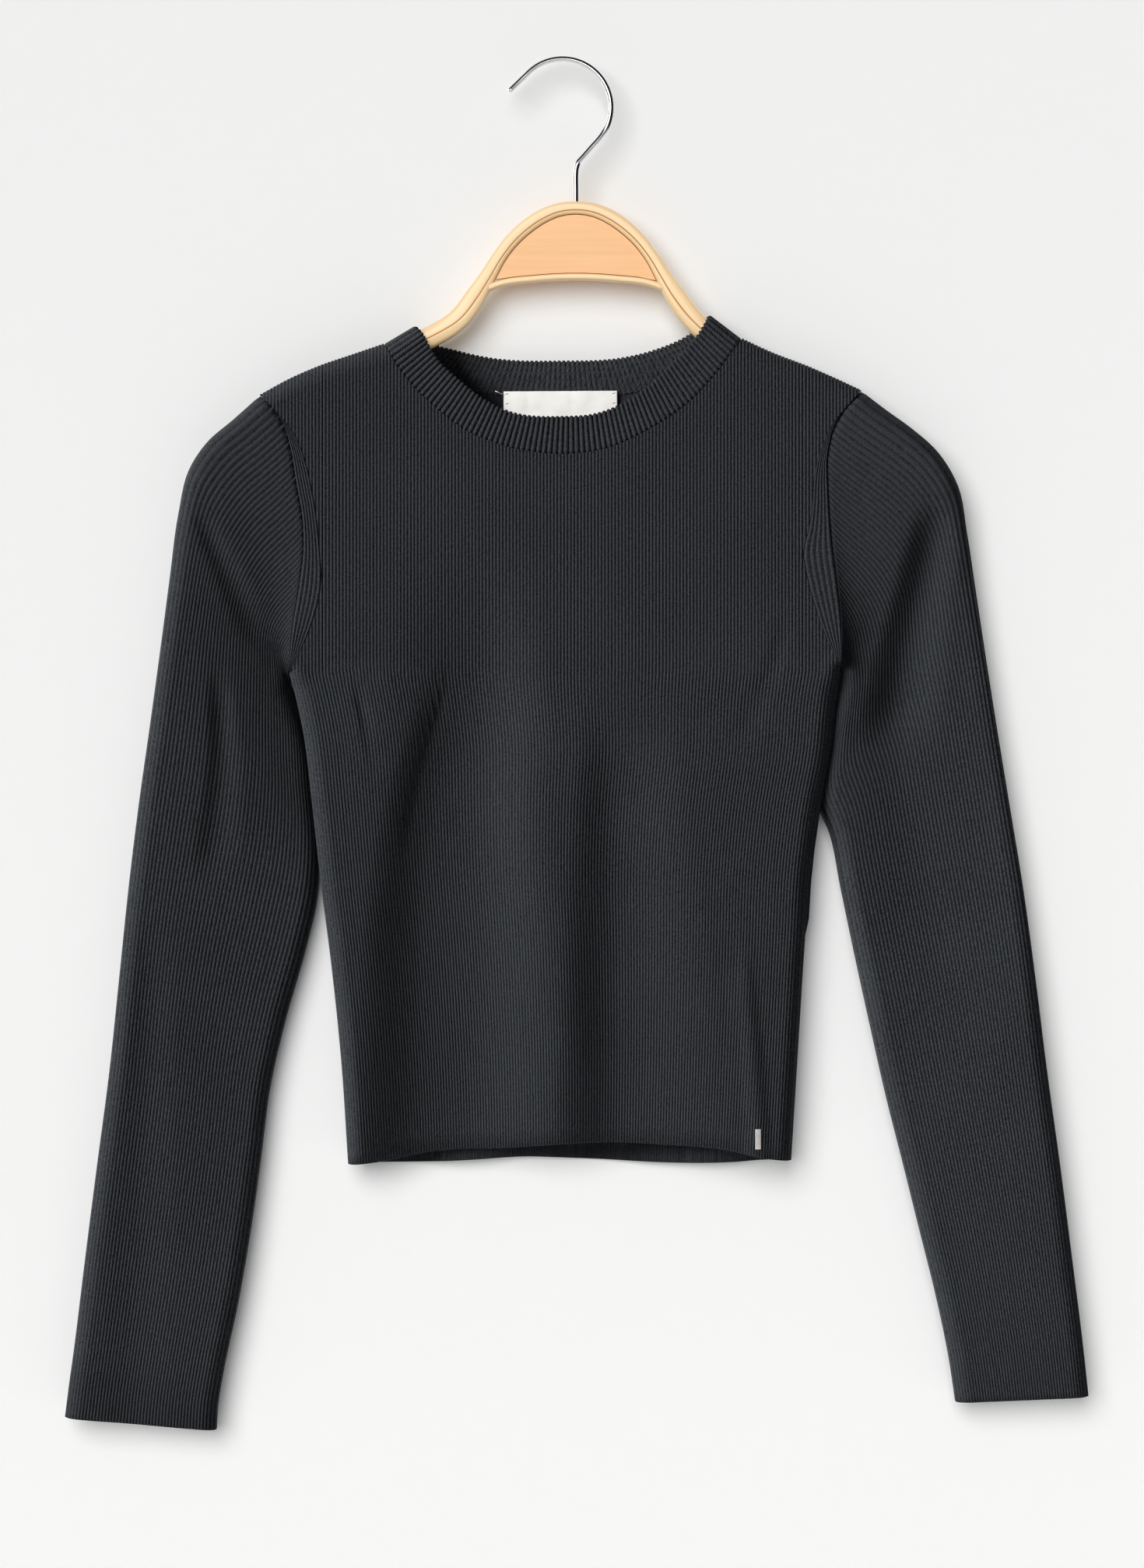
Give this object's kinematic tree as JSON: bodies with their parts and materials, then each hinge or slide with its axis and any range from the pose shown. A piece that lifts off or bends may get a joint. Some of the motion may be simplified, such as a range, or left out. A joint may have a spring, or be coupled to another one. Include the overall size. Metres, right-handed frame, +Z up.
{
  "type": "sweater on a hanger",
  "caption": "Fitted, cropped crew-neck sweater in a fine black rib knit with long sleeves, hanging pressed flat on a pale wooden hanger with a chromed wire hook.",
  "frame": {"origin": "inside of the hook's crown, where a rail carries the hanger", "axes": "+Z up along the hanging sweater, +X towards the wearer's left, +Y towards the back; the front faces -Y"},
  "size_m": [0.5913, 0.0317, 0.7935],
  "materials": {
    "knit": "matt fine rib knit",
    "woven_label": "woven, matt",
    "beech": "pale, satin lacquer",
    "inlay": "tan, satin lacquer",
    "wire": "polished"
  },
  "bodies": {
    "root": {"front": "knit", "back": "knit", "sleeve_left": "knit", "sleeve_right": "knit", "collar": "knit", "neck_label": "woven_label", "size_tab": "woven_label", "hem_tab": "woven_label", "hanger_frame": "beech", "hanger_panel": "inlay", "hanger_hook": "wire"}
  },
  "joints": []
}
